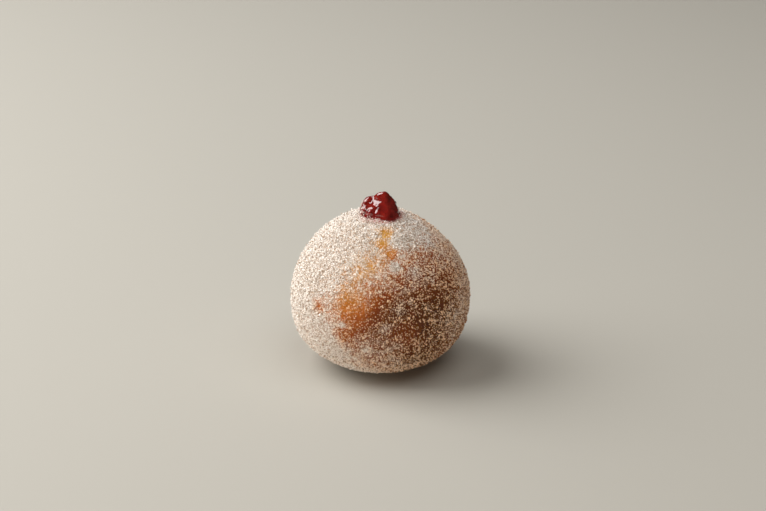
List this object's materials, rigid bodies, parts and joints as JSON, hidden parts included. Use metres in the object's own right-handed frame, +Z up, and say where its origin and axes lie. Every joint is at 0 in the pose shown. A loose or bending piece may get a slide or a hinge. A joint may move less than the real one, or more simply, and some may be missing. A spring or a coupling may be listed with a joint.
{
  "type": "bombolone",
  "caption": "Round fried dough bun rolled in granulated sugar, with a glossy mound of red jam at the filling hole on its crown and a small flat resting spot.",
  "frame": {"origin": "middle of the base, on the flat spot that the bun rests on", "axes": "+Z up through the jam, -Y towards the side that the picture shows, +X to the picture's right"},
  "size_m": [0.0802, 0.0795, 0.0805],
  "materials": {
    "sugared_crust": "fried dough crust, golden to deep brown, under a coat of granulated sugar",
    "jam": "wet, glossy, deep red set fruit jam"
  },
  "bodies": {
    "root": {"dough": "sugared_crust", "jam": "jam"}
  },
  "joints": []
}
